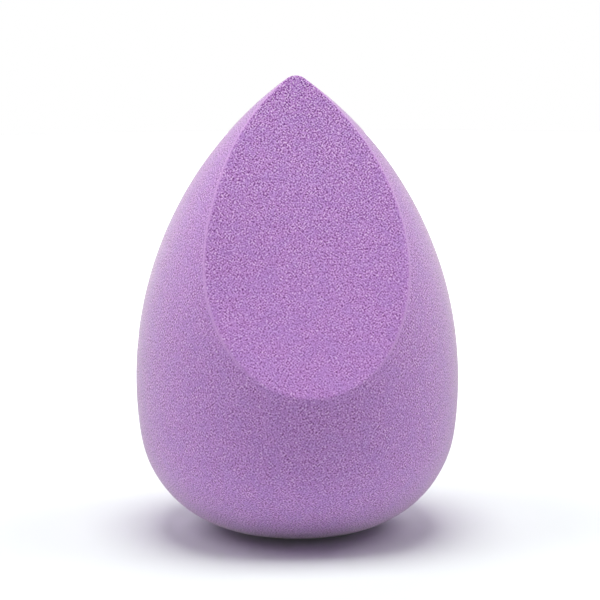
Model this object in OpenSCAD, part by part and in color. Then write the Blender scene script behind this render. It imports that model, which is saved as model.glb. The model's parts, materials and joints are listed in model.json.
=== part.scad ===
// Makeup sponge: a teardrop of soft foam with one slanted flat cut.
// The sponge stands on its foot, with Z up. The cut faces the front, which is -Y.
// The origin is the middle of the foot, on the sponge's axis.

/* [Teardrop] */
// Height from the foot to the tip
sponge_h = 60; // [50:0.5:80]
// Width across the waist, the widest place
waist_w = 42.5; // [36:0.5:52]
// Height of the waist above the foot
waist_h = 20; // [18:0.5:26]
// Radius of the broad arc that the sponge stands on
base_r = 45; // [34:1:90]
// Radius of the arc that turns the base up into the flank
turn_r = 15; // [10:0.5:17]
// Radius of the rounded tip
tip_r = 2; // [1:0.25:6]

/* [Cut] */
// Angle between the cut and the upright axis
cut_angle = 29; // [22:0.5:40]
// How far below the tip the cut crosses the axis
cut_drop = 0.25; // [0.25:0.25:8]

/* [Foot] */
// Depth to which the round base is pressed flat
foot_press = 0.5; // [0.25:0.25:1.5]

/* [Hidden] */

// Sides of a full circle
$fn = 240;

// How far a rounding swells past the arcs that it touches, so that they cross instead of only grazing
lap = 0.0005;

// The base arc is centred on the axis, and would reach below the foot if it weren't pressed flat
base_mid = [0, base_r - foot_press];

// The tip is a ball on the axis
tip_mid = [0, sponge_h - tip_r];

// The flank is one long arc, centred level with the waist, that runs up into the tip's ball
waist_r = waist_w / 2;
flank_rise = tip_mid.y - waist_h;
flank_r = (waist_r * waist_r + flank_rise * flank_rise - tip_r * tip_r) / (2 * (waist_r - tip_r));
flank_mid = [waist_r - flank_r, waist_h];

// The turn lies inside the base arc and the flank arc, and touches each of them
turn_mid = meet(flank_mid, flank_r - turn_r, base_mid, base_r - turn_r);

// Larger than the sponge in every direction, for the cuts
clear_of_all = 2 * (sponge_h + waist_w);

// The unit vector from a to b
function toward(a, b) = (b - a) / norm(b - a);

// The point that lies a_dist from a and b_dist from b, on the right of the way from a to b
function meet(a, a_dist, b, b_dist) =
    let (
        span = norm(b - a),
        along = toward(a, b),
        aside = [along.y, -along.x],
        run = (a_dist * a_dist - b_dist * b_dist + span * span) / (2 * span)
    )
    a + run * along + sqrt(a_dist * a_dist - run * run) * aside;

module disc(mid, r) {
    translate(mid) circle(r);
}

// What is shaved off between two directions from a rounding's middle to leave the rounding
module shaving(mid, r, first, last) {
    difference() {
        polygon([mid, mid + clear_of_all * first, mid + clear_of_all * (first + last), mid + clear_of_all * last]);
        disc(mid, r + lap);
    }
}

// Half of the teardrop's outline, from the axis outward
module half_outline() {
    difference() {
        intersection() {
            disc(base_mid, base_r);
            disc(flank_mid, flank_r);
            square(clear_of_all);
        }
        shaving(turn_mid, turn_r, toward(base_mid, turn_mid), toward(flank_mid, turn_mid));
        shaving(tip_mid, tip_r, toward(flank_mid, tip_mid), [0, 1]);
    }
}

// Everything in front of the slanted cut
module cut_away() {
    translate([0, 0, sponge_h - cut_drop])
        rotate([-cut_angle, 0, 0])
            translate([-clear_of_all / 2, -clear_of_all, -clear_of_all])
                cube([clear_of_all, clear_of_all, 2 * clear_of_all]);
}

// The one block of foam
module foam_body() {
    color("#b58acb")
        difference() {
            rotate_extrude() half_outline();
            cut_away();
        }
}

foam_body();
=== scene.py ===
"""Looks of a makeup sponge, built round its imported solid.

The sponge is one teardrop of soft lilac foam that stands on its round end. A slanted flat cut runs down
from the tip and faces -Y. The moulded flank has a fine skin, and the cut shows the opened bubbles of the
foam. All lengths are in metres, with Z up and the middle of the foot at the origin.
"""

from __future__ import annotations

import itertools
import json
import logging
import math
from collections.abc import Callable
from dataclasses import dataclass, field
from enum import Enum

import bpy
import numpy as np
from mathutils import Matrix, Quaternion, Vector

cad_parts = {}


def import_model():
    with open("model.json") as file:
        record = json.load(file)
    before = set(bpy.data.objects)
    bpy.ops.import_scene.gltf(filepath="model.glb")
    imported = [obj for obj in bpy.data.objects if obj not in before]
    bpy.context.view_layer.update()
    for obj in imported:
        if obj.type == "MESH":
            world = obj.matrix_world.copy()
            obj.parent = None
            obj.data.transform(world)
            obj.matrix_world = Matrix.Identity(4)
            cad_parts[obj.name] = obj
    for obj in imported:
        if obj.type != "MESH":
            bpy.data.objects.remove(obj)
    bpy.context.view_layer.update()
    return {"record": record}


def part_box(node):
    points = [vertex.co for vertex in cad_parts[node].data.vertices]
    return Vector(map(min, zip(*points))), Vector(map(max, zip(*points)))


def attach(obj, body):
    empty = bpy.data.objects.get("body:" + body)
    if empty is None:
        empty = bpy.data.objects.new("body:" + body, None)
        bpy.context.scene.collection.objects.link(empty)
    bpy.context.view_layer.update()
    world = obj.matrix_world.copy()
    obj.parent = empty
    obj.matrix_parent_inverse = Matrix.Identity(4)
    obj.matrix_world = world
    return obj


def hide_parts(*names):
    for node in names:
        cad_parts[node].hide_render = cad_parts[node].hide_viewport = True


LOG = logging.getLogger("sponge")
MM = 0.001

# The attributes that hold the two steps in the surface
STEPS = ("side_step", "up_step")

# How often a ray's stretch is halved
HALVINGS = 26

# The least slope at which a step in the surface keeps its full length
LEAST_SLOPE = 0.01

# Large odd numbers that scatter the coordinates, the seed and the mixed bits
AXIS_ODDS = (0x8DA6B343, 0xD8163841, 0xCB1AB31F)
SEED_ODD = 0x9E3779B1
MIX_ODD = 0x7FEB352D
WORD = 0xFFFFFFFF

Colour = tuple[float, float, float, float]
Shades = tuple[tuple[float, Colour], ...]
Distance = Callable[[np.ndarray], np.ndarray]


class Socket:
    """An output of a shader node, on which the signs + - and * add Math nodes."""

    def __init__(self, graph: Graph, output: bpy.types.NodeSocket) -> None:
        """Keeps the output and the graph that it belongs to."""
        self.graph = graph
        self.output = output

    def _math(self, operation: str, first: Link, second: Link) -> Socket:
        """Adds one Math node and returns its result."""
        return self.graph.add("ShaderNodeMath", {"operation": operation}, {0: first, 1: second}).out(0)

    def __add__(self, other: Link) -> Socket:
        """Returns self + other."""
        return self._math("ADD", self, other)

    def __sub__(self, other: Link) -> Socket:
        """Returns self - other."""
        return self._math("SUBTRACT", self, other)

    def __rsub__(self, other: Link) -> Socket:
        """Returns other - self."""
        return self._math("SUBTRACT", other, self)

    def __mul__(self, other: Link) -> Socket:
        """Returns self * other."""
        return self._math("MULTIPLY", self, other)

    __radd__ = __add__
    __rmul__ = __mul__


Link = Socket | float


@dataclass
class Node:
    """A shader node, and a short way to its outputs."""

    graph: Graph
    node: bpy.types.Node

    def out(self, name: str | int) -> Socket:
        """Returns the output of that name or number."""
        return Socket(self.graph, self.node.outputs[name])


class Graph:
    """The node tree of one material or of the world."""

    def __init__(self, owner: bpy.types.Material | bpy.types.World) -> None:
        """Empties the owner's node tree.

        Args:
            owner: The material or world that the nodes belong to.
        """
        owner.use_nodes = True
        self.tree = owner.node_tree
        self.tree.nodes.clear()

    def add(self, kind: str, settings: dict | None = None, inputs: dict | None = None) -> Node:
        """Adds a node.

        Args:
            kind: The node's type.
            settings: Its own settings, which are set first. A ramp's stops are pairs of place and colour.
            inputs: For each socket, by name or number, a value or another node's Socket.

        Returns:
            The new node.
        """
        node = self.tree.nodes.new(kind)
        for name, value in (settings or {}).items():
            if name == "stops":
                self._set_stops(node.color_ramp, value)
            else:
                setattr(node, name, value)
        for name, value in (inputs or {}).items():
            if isinstance(value, Socket):
                self.tree.links.new(value.output, node.inputs[name])
            else:
                node.inputs[name].default_value = value
        return Node(self, node)

    @staticmethod
    def _set_stops(ramp: bpy.types.ColorRamp, stops: Shades) -> None:
        """Gives a colour ramp its stops, the first two in the elements that it has.

        Args:
            ramp: The ramp.
            stops: For each stop, its place from 0 to 1 and its colour.
        """
        while len(ramp.elements) < len(stops):
            ramp.elements.new(1.0)
        for element, (place, colour) in zip(ramp.elements, stops, strict=True):
            element.position = place
            element.color = colour

    def attribute(self, name: str, output: str = "Fac") -> Socket:
        """Returns an attribute of the mesh."""
        return self.add("ShaderNodeAttribute", {"attribute_name": name}).out(output)

    def seen(self) -> Socket:
        """Returns 1 where a thing is seen, mirrored or seen through glass, and 0 where it gives light."""
        rays = self.add("ShaderNodeLightPath")
        return rays.out("Is Camera Ray") + rays.out("Is Glossy Ray") + rays.out("Is Transmission Ray")

    def mix(self, share: Link, first: Socket | Colour, second: Socket | Colour) -> Socket:
        """Returns a colour that goes from first to second as share goes from 0 to 1."""
        # Sockets 6 and 7 take the colours, and output 2 gives the mixed one
        inputs = {"Factor": share, 6: first, 7: second}
        return self.add("ShaderNodeMix", {"data_type": "RGBA"}, inputs).out(2)

    def ease(self, value: Link, low: float, high: float) -> Socket:
        """Returns 0 below low, 1 above high, and a smooth step in between."""
        inputs = {"Value": value, "From Min": low, "From Max": high}
        return self.add("ShaderNodeMapRange", {"interpolation_type": "SMOOTHSTEP"}, inputs).out("Result")


def rounded_edge(first: np.ndarray, second: np.ndarray, radius: float) -> np.ndarray:
    """Distance to what two solids share, with the edge between them rounded.

    Away from the edge this is the larger of the two distances. Near it, both are raised by the radius, and
    the length of the pair less the radius takes over, which draws an arc.

    Args:
        first: Distance to the first solid, below zero inside it.
        second: Distance to the second solid.
        radius: How far from the edge the rounding starts, measured square to either face.

    Returns:
        The distance at each point, below zero inside.
    """
    inner = np.minimum(np.maximum(first, second), -radius)
    return inner + np.hypot(np.maximum(first + radius, 0), np.maximum(second + radius, 0))


def smooth_step(value: np.ndarray, low: float, high: float) -> np.ndarray:
    """Returns 0 below low, 1 above high and 3t^2 - 2t^3 in between."""
    share = np.clip((value - low) / (high - low), 0, 1)
    return share * share * (3 - 2 * share)


def steady_random(cells: np.ndarray, seed: int) -> np.ndarray:
    """Numbers from 0 to 1 that depend only on a lattice cell and a seed.

    Each coordinate is multiplied by its own large odd number, they are combined with the seed by exclusive
    or, and two rounds of shifting and multiplying mix the bits.

    Args:
        cells: Whole-number coordinates, one row for each cell.
        seed: Picks another set of numbers.

    Returns:
        One number for each cell.
    """
    bits = np.uint32(seed * SEED_ODD & WORD)
    for axis, odd in enumerate(AXIS_ODDS):
        bits = bits ^ cells[:, axis].astype(np.int64).astype(np.uint32) * np.uint32(odd)
    for _ in range(2):
        bits = (bits ^ (bits >> np.uint32(16))) * np.uint32(MIX_ODD)
    return (bits ^ (bits >> np.uint32(15))) / 2.0**32


def bubble_distance(points: np.ndarray, pitch: float, seed: int) -> np.ndarray:
    """Distance from each point to the nearest bubble centre.

    Space is a lattice of cubes one pitch wide with a centre dropped at random in each. The cube that holds
    the point and the 26 round it are searched.

    Args:
        points: The points, one row each.
        pitch: Width of a cube.
        seed: Picks another set of centres.

    Returns:
        The distance of each point, in pitches.
    """
    places = points / pitch
    home = np.floor(places)
    nearest = np.full(len(points), np.inf)
    for step in itertools.product((-1, 0, 1), repeat=3):
        cell = home + step
        drop = np.stack([steady_random(cell, seed + axis) for axis in range(3)], 1)
        nearest = np.minimum(nearest, np.linalg.norm(places - cell - drop, axis=1))
    return nearest


def unevenness(points: np.ndarray, length: float, seed: int) -> np.ndarray:
    """Smooth random waves from -1 to 1.

    Each corner of a lattice, half a wave wide, has a random height, and a point takes a smooth blend of the
    eight round it.

    Args:
        points: The points, one row each.
        length: About how far it is from crest to crest.
        seed: Picks another set of waves.

    Returns:
        The wave's height at each point.
    """
    places = points / length * 2
    home = np.floor(places)
    inside = places - home
    share = inside * inside * (3 - 2 * inside)
    height = np.zeros(len(points))
    for corner in itertools.product((0, 1), repeat=3):
        weight = np.prod(np.where(corner, share, 1 - share), axis=1)
        height += weight * steady_random(home + corner, seed)
    return 2 * height - 1


@dataclass(frozen=True)
class Arc:
    """An arc of the outline, in a plane through the axis: r is the way out from it, z the way up."""

    mid_r: float
    mid_z: float
    radius: float
    first: float = -math.pi
    last: float = math.pi

    def distance(self, r: np.ndarray, z: np.ndarray) -> np.ndarray:
        """Distance from each point to the arc's circle, below zero inside it."""
        return np.hypot(r - self.mid_r, z - self.mid_z) - self.radius

    def faces(self, r: np.ndarray, z: np.ndarray) -> np.ndarray:
        """Whether each point lies in the wedge that the arc spans, seen from its middle."""
        angle = np.arctan2(z - self.mid_z, r - self.mid_r)
        return (angle >= self.first) & (angle <= self.last)


@dataclass(frozen=True)
class Teardrop:
    """The uncut foam: an outline of four arcs, each tangent to the next, turned round the upright axis."""

    waist_radius: float
    height: float = 60 * MM
    waist_height: float = 20 * MM
    base_radius: float = 45 * MM
    turn_radius: float = 15 * MM
    tip_radius: float = 2.0 * MM
    foot_press: float = 0.5 * MM

    def arcs(self) -> tuple[Arc, Arc, Arc, Arc]:
        """Works out the four arcs of the outline.

        The flank's middle is level with the waist, at the radius that makes it touch both the waist and the
        tip's ball. The turn's middle lies a turn's radius inside both the base arc and the flank arc, so it
        is the corner of a triangle whose sides are known.

        Returns:
            The base, the flank, the turn between them and the tip.
        """
        base_z = self.base_radius - self.foot_press
        tip_z = self.height - self.tip_radius
        rise = tip_z - self.waist_height
        flank_radius = (self.waist_radius**2 + rise**2 - self.tip_radius**2) / (
            2 * (self.waist_radius - self.tip_radius)
        )
        flank_r = self.waist_radius - flank_radius
        from_flank = flank_radius - self.turn_radius
        from_base = self.base_radius - self.turn_radius
        apart = math.hypot(flank_r, base_z - self.waist_height)
        along = (from_flank**2 - from_base**2 + apart**2) / (2 * apart)
        aside = math.sqrt(from_flank**2 - along**2)
        way_r, way_z = -flank_r / apart, (base_z - self.waist_height) / apart
        turn_r = flank_r + along * way_r + aside * way_z
        turn_z = self.waist_height + along * way_z - aside * way_r
        base = Arc(0.0, base_z, self.base_radius)
        flank = Arc(flank_r, self.waist_height, flank_radius)
        turn = Arc(
            turn_r,
            turn_z,
            self.turn_radius,
            math.atan2(turn_z - base_z, turn_r),
            math.atan2(turn_z - self.waist_height, turn_r - flank_r),
        )
        tip = Arc(0.0, tip_z, self.tip_radius, math.atan2(rise, -flank_r))
        return base, flank, turn, tip

    def distance(self, points: np.ndarray) -> np.ndarray:
        """Distance from each point to the teardrop's skin.

        It is the larger distance to the base and flank circles, but in the wedge of the turn or of the tip it
        is the distance to that circle.

        Args:
            points: The points, one row each.

        Returns:
            The distance of each point, below zero inside.
        """
        r, z = np.hypot(points[:, 0], points[:, 1]), points[:, 2]
        base, flank, turn, tip = self.arcs()
        result = np.maximum(base.distance(r, z), flank.distance(r, z))
        for corner in (turn, tip):
            result = np.where(corner.faces(r, z), corner.distance(r, z), result)
        return result


@dataclass(frozen=True)
class Cut:
    """The slanted cut, a plane square to the sponge's middle plane, with one low rise in it.

    The rise is round, and lies to the left of the middle of the cut and a little above it.
    """

    middle: np.ndarray
    outward: np.ndarray
    rise: float = 0.6 * MM
    rise_left: float = 12 * MM
    rise_above: float = 5.5 * MM
    rise_reach: float = 10 * MM

    def lift(self, points: np.ndarray) -> np.ndarray:
        """How far the rise carries the cut out of its plane, as a bell curve round its middle.

        Args:
            points: The points, one row each.

        Returns:
            The lift at each point.
        """
        off = points - self.middle
        away = np.hypot(off[:, 0] + self.rise_left, off @ self.uphill() - self.rise_above)
        return self.rise * np.exp(-((away / self.rise_reach) ** 2))

    def distance(self, points: np.ndarray) -> np.ndarray:
        """Height of each point over the cut, below zero on the foam's side."""
        return (points - self.middle) @ self.outward - self.lift(points)

    def settle(self, points: np.ndarray) -> np.ndarray:
        """Carries points of the plane onto the cut."""
        return points + np.outer(self.lift(points), self.outward)

    def uphill(self) -> np.ndarray:
        """The way up the slope, in the plane."""
        return np.cross(self.outward, (1.0, 0.0, 0.0))


def cast(distance: Distance, start: np.ndarray, ways: np.ndarray) -> np.ndarray:
    """How far along each way the skin lies.

    Each ray starts inside, and the stretch that holds the skin is halved down to about a nanometre.

    Args:
        distance: Signed distance to the skin, for an array of points.
        start: The point, or the points, where the rays start.
        ways: The rays' ways, one row each. Twice their length reaches past the skin.

    Returns:
        The length of each ray, in lengths of its way.
    """
    near, far = np.zeros(len(ways)), np.full(len(ways), 2.0)
    for _ in range(HALVINGS):
        half = (near + far) / 2
        inside = distance(start + half[:, None] * ways) < 0
        near, far = np.where(inside, half, near), np.where(inside, far, half)
    return (near + far) / 2


def outward(distance: Distance, points: np.ndarray) -> np.ndarray:
    """The way out of a solid at each point: how its distance changes along each axis.

    Args:
        distance: Signed distance to the solid's skin, for an array of points.
        points: The points, one row each.

    Returns:
        The way out at each point, one long.
    """
    step = 0.01 * MM
    slopes = [distance(points + step * axis) - distance(points - step * axis) for axis in np.eye(3)]
    ways = np.stack(slopes, 1)
    return ways / np.linalg.norm(ways, axis=1)[:, None]


def steps_along(normals: np.ndarray, step: float) -> tuple[np.ndarray, np.ndarray]:
    """Steps in a surface, level and up its slope, which shrink to nothing where it is level.

    Args:
        normals: The way out of the surface at each point, one long.
        step: Length of a step.

    Returns:
        The level step and the step up the slope at each point.
    """
    level = np.cross((0.0, 0.0, 1.0), normals)
    level *= step / np.maximum(np.linalg.norm(level, axis=1), LEAST_SLOPE)[:, None]
    return level, np.cross(normals, level)


def disc_grid(across: int, along: int) -> tuple[np.ndarray, np.ndarray]:
    """A rectangle of points laid on a unit disc, so that its border lies on the circle.

    Nested rectangles become nested circles: the larger coordinate is the radius, and the ratio of the two
    is the angle in the quarter that the point is in.

    Args:
        across: Cells from side to side.
        along: Cells from end to end.

    Returns:
        The x and the y of each point, row by row from the low left corner.
    """
    x, y = np.meshgrid(np.linspace(-1, 1, across + 1), np.linspace(-1, 1, along + 1))
    sideways = np.abs(x) >= np.abs(y)
    reach = np.where(sideways, x, y)
    other = np.where(sideways, y, x)
    share = np.divide(other, reach, out=np.zeros_like(reach), where=reach != 0)
    turn = np.where(sideways, share * math.pi / 4, math.pi / 2 - share * math.pi / 4)
    return (reach * np.cos(turn)).ravel(), (reach * np.sin(turn)).ravel()


def grid_border(across: int, along: int) -> np.ndarray:
    """Numbers of the points round a disc_grid, anticlockwise from the low right corner."""
    grid = np.arange((across + 1) * (along + 1)).reshape(along + 1, across + 1)
    return np.concatenate([grid[:-1, -1], grid[-1, :0:-1], grid[:0:-1, 0], grid[0, :-1]])


def grid_faces(across: int, along: int) -> np.ndarray:
    """Joins the points of a disc_grid.

    Args:
        across: Cells from side to side.
        along: Cells from end to end.

    Returns:
        The four corners of each cell, anticlockwise.
    """
    grid = np.arange((across + 1) * (along + 1)).reshape(along + 1, across + 1)
    corners = (grid[:-1, :-1], grid[:-1, 1:], grid[1:, 1:], grid[1:, :-1])
    return np.stack([corner.ravel() for corner in corners], 1)


def ring_faces(rings: np.ndarray) -> np.ndarray:
    """Joins closed rings of points.

    Args:
        rings: Numbers of the points, one ring a row, from the inner one outwards.

    Returns:
        The four corners of each cell between two rings.
    """
    after = np.roll(rings, -1, axis=1)
    corners = (rings[:-1], rings[1:], after[1:], after[:-1])
    return np.stack([corner.ravel() for corner in corners], 1)


def halving_faces(fine: np.ndarray, coarse: np.ndarray) -> np.ndarray:
    """Joins an inner ring to an outer one with half as many points, by three triangles a step.

    Args:
        fine: Numbers of the inner ring's points.
        coarse: Numbers of the outer ring's points.

    Returns:
        The three corners of each triangle.
    """
    start, middle, end = fine[0::2], fine[1::2], np.roll(fine, -2)[0::2]
    after = np.roll(coarse, -1)
    triangles = ((start, coarse, middle), (middle, coarse, after), (middle, after, end))
    return np.concatenate([np.stack(triangle, 1) for triangle in triangles])


def closed_mesh(name: str, points: np.ndarray, faces: list[np.ndarray]) -> bpy.types.Mesh:
    """Makes a smooth-shaded mesh.

    Args:
        name: The mesh's name.
        points: One row for each vertex.
        faces: Arrays of corner numbers. All faces of an array have as many corners as it has columns.

    Returns:
        The mesh.
    """
    mesh = bpy.data.meshes.new(name)
    corners = np.concatenate([part.ravel() for part in faces]).astype(np.int32)
    counts = np.concatenate([np.full(len(part), part.shape[1], np.int32) for part in faces])
    mesh.vertices.add(len(points))
    mesh.vertices.foreach_set("co", points.astype(np.float32).ravel())
    mesh.loops.add(len(corners))
    mesh.loops.foreach_set("vertex_index", corners)
    mesh.polygons.add(len(counts))
    mesh.polygons.foreach_set("loop_start", (np.cumsum(counts) - counts).astype(np.int32))
    mesh.polygons.foreach_set("use_smooth", np.ones(len(counts), bool))
    mesh.update(calc_edges=True)
    mesh.validate()
    return mesh


class Skin(Enum):
    """The two kinds of surface that the foam has."""

    SLICED = "sliced"
    MOULDED = "moulded"


@dataclass(frozen=True)
class Relief:
    """How one kind of foam surface goes in and out.

    It has pits of a pitch and a depth, and slow waves of a length and a swell.
    """

    pitch: float
    depth: float
    wave: float
    swell: float
    pit_seed: int
    wave_seed: int


RELIEFS = {
    Skin.SLICED: Relief(
        pitch=0.42 * MM, depth=0.030 * MM, wave=7 * MM, swell=0.05 * MM, pit_seed=0, wave_seed=5
    ),
    Skin.MOULDED: Relief(
        pitch=0.70 * MM, depth=0.012 * MM, wave=5 * MM, swell=0.03 * MM, pit_seed=10, wave_seed=15
    ),
}


@dataclass(frozen=True)
class FoamFinish:
    """Dyed open-cell foam: matt, paler where it is seen at a slant, with painted shade in its pores.

    The ramp runs from a dark pore bottom over the wall to a light strand that stands proud: the foam's grain,
    with painted shade in the pores and a painted highlight on the strands.
    """

    # Dark pore bottoms are painted shade and light strands a painted highlight, over the foam's own grain
    grain_and_painted_shading: Shades = (
        (0.00, (0.120, 0.000, 0.165, 1.0)),
        (0.28, (0.445, 0.178, 0.558, 1.0)),
        (0.50, (0.590, 0.281, 0.712, 1.0)),
        (0.72, (0.685, 0.362, 0.815, 1.0)),
        (1.00, (0.930, 0.700, 0.990, 1.0)),
    )
    # Lighter rim colour: the paler frayed foam of the edge, and a painted highlight where the rounded rim
    # catches light
    frayed_rim_and_highlight: Colour = (0.76, 0.44, 0.85, 1.0)
    rim_share: float = 0.65
    blue: Colour = (0.475, 0.268, 0.738, 1.0)
    strand_pitch: float = 0.22 * MM
    strand_mean: float = 0.47
    around: float = 0.6
    mottle_length: float = 2.0 * MM
    mottle_detail: float = 2.0
    mottle_floor: float = 0.4
    mottle_share: float = 0.8
    bump_height: float = 0.045 * MM
    mid_tone: float = 0.5
    contrast: float = 2.05
    pit_shade: float = 0.04
    roughness: float = 0.92
    shine: float = 0.12
    sheen: float = 0.61
    cut_sheen: float = 0.31
    sheen_roughness: float = 0.5
    sheen_tint: Colour = (0.92, 1.0, 0.77, 1.0)

    def strands(self, graph: Graph, place: Socket) -> Socket:
        """Returns a noise from 0 to 1, high on the strands of the foam and low in its pores."""
        inputs = {"Vector": place, "Scale": 1 / self.strand_pitch, "Detail": 0.0}
        return graph.add("ShaderNodeTexNoise", {}, inputs).out("Fac")

    def height(self, graph: Graph, place: Socket) -> Socket:
        """Works out how far the foam stands proud of the foam round it, about zero on average.

        Most of the average of four places near by, a step away in the surface each, is taken from the noise.

        Args:
            graph: The material's nodes.
            place: Where the noise is read.

        Returns:
            The height.
        """
        height = self.strands(graph, place) - self.strand_mean * (1 - self.around)
        for name in STEPS:
            ends = {0: place, 1: graph.attribute(name, "Vector")}
            for operation in ("ADD", "SUBTRACT"):
                near = graph.add("ShaderNodeVectorMath", {"operation": operation}, ends).out("Vector")
                height = height - self.around / 4 * self.strands(graph, near)
        return height

    def material(self, name: str) -> bpy.types.Material:
        """Makes the foam's material, which reads Object coordinates and the mesh's own attributes.

        The height picks the colour from the ramp, with painted shade in the pores and a painted highlight on
        the strands, and feeds the bump, and the grain attribute says how strongly. The opened pits of the cut
        get more painted shade, and the upper rim a lighter colour that is partly a painted highlight. A slow
        mottle turns the dye a little towards blue.

        Args:
            name: The material's name.

        Returns:
            The material.
        """
        material = bpy.data.materials.new(name)
        graph = Graph(material)
        place = graph.add("ShaderNodeTexCoord").out("Object")
        grain = graph.attribute("grain")
        slow = {"Vector": place, "Scale": 1 / self.mottle_length, "Detail": self.mottle_detail}
        mottle = graph.add("ShaderNodeTexNoise", {}, slow).out("Fac")
        height = self.height(graph, place)
        # Painted shade, darker in the opened pits of the cut
        pits = self.pit_shade * graph.attribute("open_cell")
        tone = self.mid_tone + self.contrast * grain * height - pits
        # The ramp paints shade into the pores and a highlight on the strands, over the foam's grain
        foam = graph.add("ShaderNodeValToRGB", {"stops": self.grain_and_painted_shading}, {"Fac": tone}).out("Color")
        bump = graph.add(
            "ShaderNodeBump", {}, {"Strength": 1.0, "Distance": self.bump_height, "Height": height * grain}
        )
        dyed = graph.mix(self.mottle_share * (mottle - self.mottle_floor), foam, self.blue)
        inputs = {
            # The upper rim gets the lighter colour: frayed foam and a painted highlight
            "Base Color": graph.mix(self.rim_share * graph.attribute("rim"), dyed, self.frayed_rim_and_highlight),
            "Roughness": self.roughness,
            "Specular IOR Level": self.shine,
            "Sheen Roughness": self.sheen_roughness,
            "Sheen Tint": self.sheen_tint,
            "Normal": bump.out("Normal"),
        }
        skin, inside = (
            graph.add("ShaderNodeBsdfPrincipled", {}, inputs | {"Sheen Weight": sheen}).out("BSDF")
            for sheen in (self.sheen, self.cut_sheen)
        )
        sliced = graph.attribute("sliced")
        shader = graph.add("ShaderNodeMixShader", {}, {0: sliced, 1: skin, 2: inside}).out(0)
        graph.add("ShaderNodeOutputMaterial", {}, {"Surface": shader})
        return material


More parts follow.
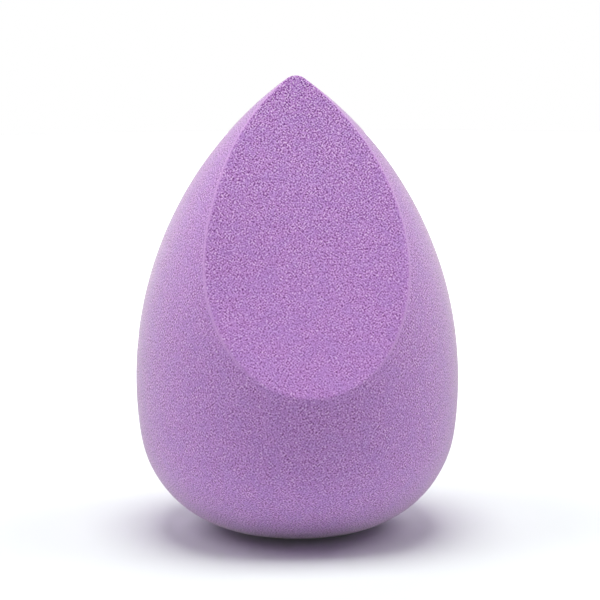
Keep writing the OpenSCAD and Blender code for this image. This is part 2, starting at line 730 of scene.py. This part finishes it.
@dataclass
class FoamBody:
    """The block of foam: the teardrop, cut flat, with a soft rim and a pressed foot.

    The rim is frayed and painted lighter, partly a painted highlight where the rounded edge catches light,
    except at the low end, where the cut meets the flank at a slight angle.
    The surface is three patches that share their borders. A fine one covers the cut, a band of rings runs
    from the rim round the flank, and a last one closes the back.
    """

    teardrop: Teardrop
    cut: Cut
    finish: FoamFinish = field(default_factory=FoamFinish)
    rim_round: float = 0.08 * MM
    foot_round: float = 0.20 * MM
    rim_reach: float = 0.18 * MM
    low_end: float = 22 * MM
    fray_height: float = 6 * MM
    low_grain: float = 0.72
    skin_grain: float = 0.78
    rim_grain: float = 0.60
    step: float = 0.17 * MM
    pit_floor: float = 0.15
    pit_edge: float = 0.75
    heart_share: float = 0.45
    cells_across: int = 138
    cells_along: int = 238
    rings: int = 148
    back_angle: float = math.radians(49)
    rim_squeeze: float = 0.4
    squeeze_share: float = 0.03
    least_lean: float = 0.2

    def distance(self, points: np.ndarray) -> np.ndarray:
        """Distance from each point to the finished block, below zero inside."""
        sliced = rounded_edge(self.teardrop.distance(points), self.cut.distance(points), self.rim_round)
        return rounded_edge(sliced, -points[:, 2], self.foot_round)

    def heart(self) -> np.ndarray:
        """The point inside the foam that all rays start from, about as far from the cut as from the back."""
        return np.array([0.0, 0.0, self.heart_share * self.teardrop.height])

    def stretch(self) -> np.ndarray:
        """The half sizes of a ball that is stretched to about the sponge's shape."""
        half = self.teardrop.height / 2
        return np.array([self.teardrop.waist_radius, self.teardrop.waist_radius, half])

    def cut_ways(self) -> np.ndarray:
        """Ways from the heart through an even grid on the cut.

        The grid is a disc whose radius, in each way from the middle of the cut, is the sharp rim's reach.

        Returns:
            One way for each point of the grid.
        """
        x, y = disc_grid(self.cells_across, self.cells_along)
        radius, angle = np.hypot(x, y), np.arctan2(y, x)
        wide, long = self.teardrop.waist_radius, self.teardrop.height / 2
        flat = np.outer(wide * self.cells_across / self.cells_along * np.cos(angle), (1.0, 0.0, 0.0))
        flat += np.outer(wide * np.sin(angle), self.cut.uphill())
        flat *= long / wide
        reach = cast(lambda points: self.teardrop.distance(self.cut.settle(points)), self.cut.middle, flat)
        return self.cut.settle(self.cut.middle + (radius * reach)[:, None] * flat) - self.heart()

    def band_ways(self, rim_ways: np.ndarray) -> np.ndarray:
        """Ways from the heart for the rings of the flank, from just outside the rim to the back's edge.

        On the stretched ball, a ring's angle from the middle of the cut grows evenly from the rim's own to
        the back's, with closer rings at the rim. The turn about that middle goes from the rim's own to an
        even one.

        Args:
            rim_ways: Ways to the rim, one for each column of the band.

        Returns:
            An array of rings by columns by three.
        """
        front, side, up = self.ball_axes()
        balls = rim_ways / self.stretch()
        balls /= np.linalg.norm(balls, axis=1)[:, None]
        columns = len(balls)
        rim_angle = np.arccos(np.clip(balls @ front, -1, 1))
        rim_turn = np.unwrap(np.arctan2(balls @ up, balls @ side))
        even_turn = -math.pi / 4 + 2 * math.pi * np.arange(columns) / columns
        share = np.arange(1, self.rings + 1)[:, None] / (self.rings + 1)
        slow = (1 - self.rim_squeeze) * self.squeeze_share * (1 - np.exp(-share / self.squeeze_share))
        share = (share - slow) / (1 - (1 - self.rim_squeeze) * self.squeeze_share)
        angle = rim_angle + (math.pi - self.back_angle - rim_angle) * share
        turn = rim_turn + (even_turn - rim_turn) * smooth_step(share, 0, 1)
        return self.from_ball(angle, turn)

    def back_ways(self, cells: int) -> np.ndarray:
        """Ways from the heart for the patch that closes the back, a square grid on a disc."""
        x, y = disc_grid(cells, cells)
        return self.from_ball(math.pi - self.back_angle * np.hypot(x, y), np.arctan2(y, x))

    def ball_axes(self) -> tuple[np.ndarray, np.ndarray, np.ndarray]:
        """Works out the axes of the stretched ball.

        Returns:
            The way to the middle of the cut, the way right and the way up the slope.
        """
        front = (self.cut.middle - self.heart()) / self.stretch()
        front /= np.linalg.norm(front)
        side = np.array([1.0, 0.0, 0.0])
        return front, side, np.cross(front, side)

    def from_ball(self, angle: np.ndarray, turn: np.ndarray) -> np.ndarray:
        """Turns places on the stretched ball into ways from the heart.

        Args:
            angle: Angles from the middle of the cut.
            turn: Turns about that middle.

        Returns:
            One way for each pair of the two.
        """
        front, side, up = self.ball_axes()
        out = np.cos(turn)[..., None] * side + np.sin(turn)[..., None] * up
        return (np.cos(angle)[..., None] * front + np.sin(angle)[..., None] * out) * self.stretch()

    def surface(self) -> tuple[np.ndarray, list[np.ndarray]]:
        """Builds the smooth skin.

        Returns:
            Its points, and the faces that join them.
        """
        fine_border = grid_border(self.cells_across, self.cells_along)
        columns = len(fine_border) // 2
        back_cells = columns // 4
        cut_ways = self.cut_ways()
        band_ways = self.band_ways(cut_ways[fine_border[::2]])
        back_ways = self.back_ways(back_cells)
        ways = np.concatenate([cut_ways, band_ways.reshape(-1, 3), back_ways])
        points = self.heart() + cast(self.distance, self.heart(), ways)[:, None] * ways
        band_start = len(cut_ways)
        back_start = band_start + columns * self.rings
        rings = np.arange(band_start, back_start).reshape(self.rings, columns)
        back_border = back_start + grid_border(back_cells, back_cells)
        faces = [
            grid_faces(self.cells_across, self.cells_along),
            halving_faces(fine_border, rings[0]),
            ring_faces(np.vstack([rings, back_border])),
            back_start + grid_faces(back_cells, back_cells)[:, ::-1],
        ]
        return points, faces

    def past_rim(self, points: np.ndarray) -> np.ndarray:
        """How far each point lies from the rim, along the surface.

        On either face the distance to the other one is this times the sine of the angle between the two.

        Args:
            points: Points of the smooth skin.

        Returns:
            The length at each point, over zero on the cut and below it on the flank.
        """
        gap = self.cut.distance(points) - self.teardrop.distance(points)
        lean = np.cross(outward(self.teardrop.distance, points), self.cut.outward)
        return gap / np.maximum(np.linalg.norm(lean, axis=1), self.least_lean)

    def relief(self, points: np.ndarray, sliced: np.ndarray) -> tuple[np.ndarray, np.ndarray]:
        """Works out the pits and slow waves of the surface.

        A bubble that the surface crosses leaves a round pit, deepest at its middle. Slow waves add to it.
        Each kind of surface has its own sizes, and the two are blended across the rim. What lies between the
        pits stands proud by their average, so that the foam keeps its size.

        Args:
            points: Points of the smooth skin.
            sliced: How far each of them belongs to the cut, from 0 to 1.

        Returns:
            How far each point is sunk, and how open the bubble under it is, from 0 to 1.
        """
        sunk, opened = np.zeros(len(points)), np.zeros(len(points))
        for skin, share in ((Skin.SLICED, sliced), (Skin.MOULDED, 1 - sliced)):
            sizes = RELIEFS[skin]
            away = bubble_distance(points, sizes.pitch, sizes.pit_seed)
            pit = 1 - smooth_step(away, self.pit_floor, self.pit_edge)
            wave = 0.5 + 0.5 * unevenness(points, sizes.wave, sizes.wave_seed)
            sunk += share * (sizes.depth * pit + sizes.swell * wave)
            opened += share * pit
        return sunk - sunk.mean(), opened

    def grain(self, points: np.ndarray, sliced: np.ndarray, rim: np.ndarray) -> np.ndarray:
        """How strongly the pores show: most on the cut near the tip, less on the skin and the rim.

        Args:
            points: Points of the smooth skin.
            sliced: How far each of them belongs to the cut, from 0 to 1.
            rim: How far each of them belongs to the frayed rim, from 0 to 1.

        Returns:
            A share for each point, up to 1.
        """
        upper = smooth_step(points[:, 2], self.low_end, self.teardrop.height)
        on_cut = self.low_grain + (1 - self.low_grain) * upper
        return (self.skin_grain + (on_cut - self.skin_grain) * sliced) * (1 - (1 - self.rim_grain) * rim)

    def build(self) -> bpy.types.Object:
        """Makes the foam.

        Its attributes say how strongly the pores show, what belongs to the cut, where the rim is frayed and
        gets a lighter colour that is partly a painted highlight, how open the bubbles are, which sets the
        painted shade in the pits, and which two steps in the surface the grain takes.

        Returns:
            The foam's object.
        """
        points, faces = self.surface()
        past = self.past_rim(points)
        sliced = smooth_step(past, -self.rim_reach, self.rim_reach)
        # Fades in the rim's lighter colour, frayed foam and painted highlight, above the low end of the cut
        frayed = smooth_step(points[:, 2], self.low_end, self.low_end + self.fray_height)
        rim = frayed * np.exp(-(((past + self.rim_reach) / self.rim_reach) ** 2))
        sunk, opened = self.relief(points, sliced)
        lifted = smooth_step(points[:, 2], 0.0, self.teardrop.foot_press)
        normals = outward(self.distance, points)
        mesh = closed_mesh("foam", points - (sunk * lifted)[:, None] * normals, faces)
        values = {
            "grain": self.grain(points, sliced, rim),
            "sliced": sliced,
            "rim": rim,
            # The opened pits of the cut, which the material darkens with painted shade
            "open_cell": opened * sliced,
        }
        values |= dict(zip(STEPS, steps_along(normals, self.step), strict=True))
        for name, value in values.items():
            kind, entry = ("FLOAT", "value") if value.ndim == 1 else ("FLOAT_VECTOR", "vector")
            data = mesh.attributes.new(name, kind, "POINT").data
            data.foreach_set(entry, value.astype(np.float32).ravel())
        mesh.materials.append(self.finish.material("lilac_foam"))
        piece = bpy.data.objects.new("foam", mesh)
        bpy.context.scene.collection.objects.link(piece)
        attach(piece, "root")
        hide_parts("foam_body")
        return piece


@dataclass(frozen=True)
class FloorFinish:
    """Plain white card, which looks white to the camera but keeps its shadows."""

    colour: Colour = (0.798, 0.835, 0.83, 1.0)
    haze: float = 0.012
    lift: float = 0.5
    lift_from: float = 0.02
    lift_to: float = 0.12

    def material(self, name: str) -> bpy.types.Material:
        """Makes the card's material, which grows whiter away from the sponge where it is seen or mirrored.

        Its underside can't be seen, so that the foot shows from below.

        Args:
            name: The material's name.

        Returns:
            The material.
        """
        material = bpy.data.materials.new(name)
        graph = Graph(material)
        seen = graph.seen()
        place = graph.add("ShaderNodeTexCoord").out("Object")
        away = graph.add("ShaderNodeVectorMath", {"operation": "LENGTH"}, {0: place}).out("Value")
        whiter = graph.ease(away, self.lift_from, self.lift_to)
        card = graph.add("ShaderNodeBsdfDiffuse", {}, {"Color": self.colour}).out("BSDF")
        strength = (self.haze + self.lift * whiter) * seen
        glow = graph.add("ShaderNodeEmission", {}, {"Strength": strength}).out("Emission")
        front = graph.add("ShaderNodeAddShader", {}, {0: card, 1: glow}).out(0)
        behind = graph.add("ShaderNodeBsdfTransparent").out("BSDF")
        under = graph.add("ShaderNodeNewGeometry").out("Backfacing")
        shader = graph.add("ShaderNodeMixShader", {}, {0: under, 1: front, 2: behind}).out(0)
        graph.add("ShaderNodeOutputMaterial", {}, {"Surface": shader})
        return material


@dataclass(frozen=True)
class Softbox:
    """A square lamp that looks at the sponge."""

    name: str
    place: tuple[float, float, float]
    width: float
    power: float

    def build(self, target: Vector) -> None:
        """Makes the lamp.

        Args:
            target: The point that it looks at.
        """
        light = bpy.data.lights.new(self.name, "AREA")
        light.shape = "SQUARE"
        light.size = self.width
        light.energy = self.power
        lamp = bpy.data.objects.new(self.name, light)
        lamp.location = self.place
        lamp.rotation_mode = "QUATERNION"
        lamp.rotation_quaternion = (target - lamp.location).to_track_quat("-Z", "Y")
        bpy.context.scene.collection.objects.link(lamp)


@dataclass
class Studio:
    """A white table, a softbox overhead and weaker ones at the sides, behind and low down."""

    target: Vector
    floor_radius: float = 0.45
    floor_sides: int = 64
    floor_gap: float = 0.02 * MM
    floor: FloorFinish = field(default_factory=FloorFinish)
    softboxes: tuple[Softbox, ...] = (
        Softbox("softbox_top", (0.0, 0.0, 0.90), 0.50, 6.3),
        Softbox("softbox_left", (-0.60, 0.0, 0.65), 0.50, 2.35),
        Softbox("softbox_right", (0.60, 0.0, 0.65), 0.50, 2.25),
        Softbox("softbox_back", (0.0, 0.70, 0.35), 0.50, 1.75),
        Softbox("softbox_left_back", (-0.50, 0.50, 0.30), 0.50, 0.33),
        Softbox("softbox_left_low", (-0.60, -0.10, 0.12), 0.30, 0.30),
        Softbox("softbox_right_low", (0.60, -0.10, 0.12), 0.30, 0.36),
    )

    def build_floor(self) -> None:
        """Makes the table top, a large disc just under the foot."""
        turn = np.linspace(0, 2 * math.pi, self.floor_sides, endpoint=False)
        ring = np.stack([np.cos(turn), np.sin(turn), np.zeros_like(turn)], 1) * self.floor_radius
        mesh = closed_mesh("table", ring - (0, 0, self.floor_gap), [np.arange(self.floor_sides)[None, :]])
        mesh.materials.append(self.floor.material("white_card"))
        table = bpy.data.objects.new("table", mesh)
        bpy.context.scene.collection.objects.link(table)

    def build_world(self) -> None:
        """Makes the surround, which is white where it is seen or mirrored and gives no light."""
        world = bpy.data.worlds.new("surround")
        bpy.context.scene.world = world
        graph = Graph(world)
        sky = graph.add("ShaderNodeBackground", {}, {"Color": (1.0, 1.0, 1.0, 1.0), "Strength": graph.seen()})
        graph.add("ShaderNodeOutputWorld", {}, {"Surface": sky.out("Background")})

    def build(self) -> None:
        """Makes the table, the surround and the lamps."""
        self.build_floor()
        self.build_world()
        for softbox in self.softboxes:
            softbox.build(self.target)


@dataclass(frozen=True)
class Viewpoint:
    """Where the photograph was taken from."""

    distance: float = 382.5 * MM
    elevation: float = math.radians(10)
    turn: float = math.radians(5.45)
    roll: float = math.radians(-0.30)
    lens_mm: float = 174.4
    sensor_mm: float = 36.0
    aim_right: float = 0.41 * MM
    aim_height: float = 30.4 * MM
    clip_near: float = 0.01
    clip_far: float = 20.0

    def build(self) -> None:
        """Makes the camera, a little to the left of the cut's front and above it."""
        right = Vector((math.cos(self.turn), -math.sin(self.turn), 0.0))
        level = Vector((-math.sin(self.turn), -math.cos(self.turn), 0.0))
        aim = self.aim_right * right + Vector((0, 0, self.aim_height))
        back = math.cos(self.elevation) * level + Vector((0, 0, math.sin(self.elevation)))
        data = bpy.data.cameras.new("camera")
        data.lens, data.sensor_width = self.lens_mm, self.sensor_mm
        data.clip_start, data.clip_end = self.clip_near, self.clip_far
        camera = bpy.data.objects.new("camera", data)
        camera.location = aim + self.distance * back
        camera.rotation_mode = "QUATERNION"
        camera.rotation_quaternion = (-back).to_track_quat("-Z", "Y") @ Quaternion((0, 0, 1), self.roll)
        bpy.context.scene.collection.objects.link(camera)
        bpy.context.scene.camera = camera


def cut_of(record: dict) -> Cut:
    """The cut's plane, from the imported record's mount on it."""
    mount = next(mount for mount in record["mounts"] if mount["name"] == "cut_face")
    return Cut(np.array(mount["pos_m"], float), np.array(mount["axis"], float))


def main() -> None:
    """Builds the sponge and its studio."""
    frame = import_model()
    low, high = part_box("foam_body")
    teardrop = Teardrop(waist_radius=(high.x - low.x) / 2)
    foam = FoamBody(teardrop, cut_of(frame["record"])).build()
    LOG.info("%s: %d vertices, %d faces", foam.name, len(foam.data.vertices), len(foam.data.polygons))
    Studio(target=(low + high) / 2).build()
    Viewpoint().build()
    bpy.context.scene.view_settings.view_transform = "Standard"


if __name__ == "__main__":
    logging.basicConfig(level=logging.INFO, format="%(message)s")
    main()
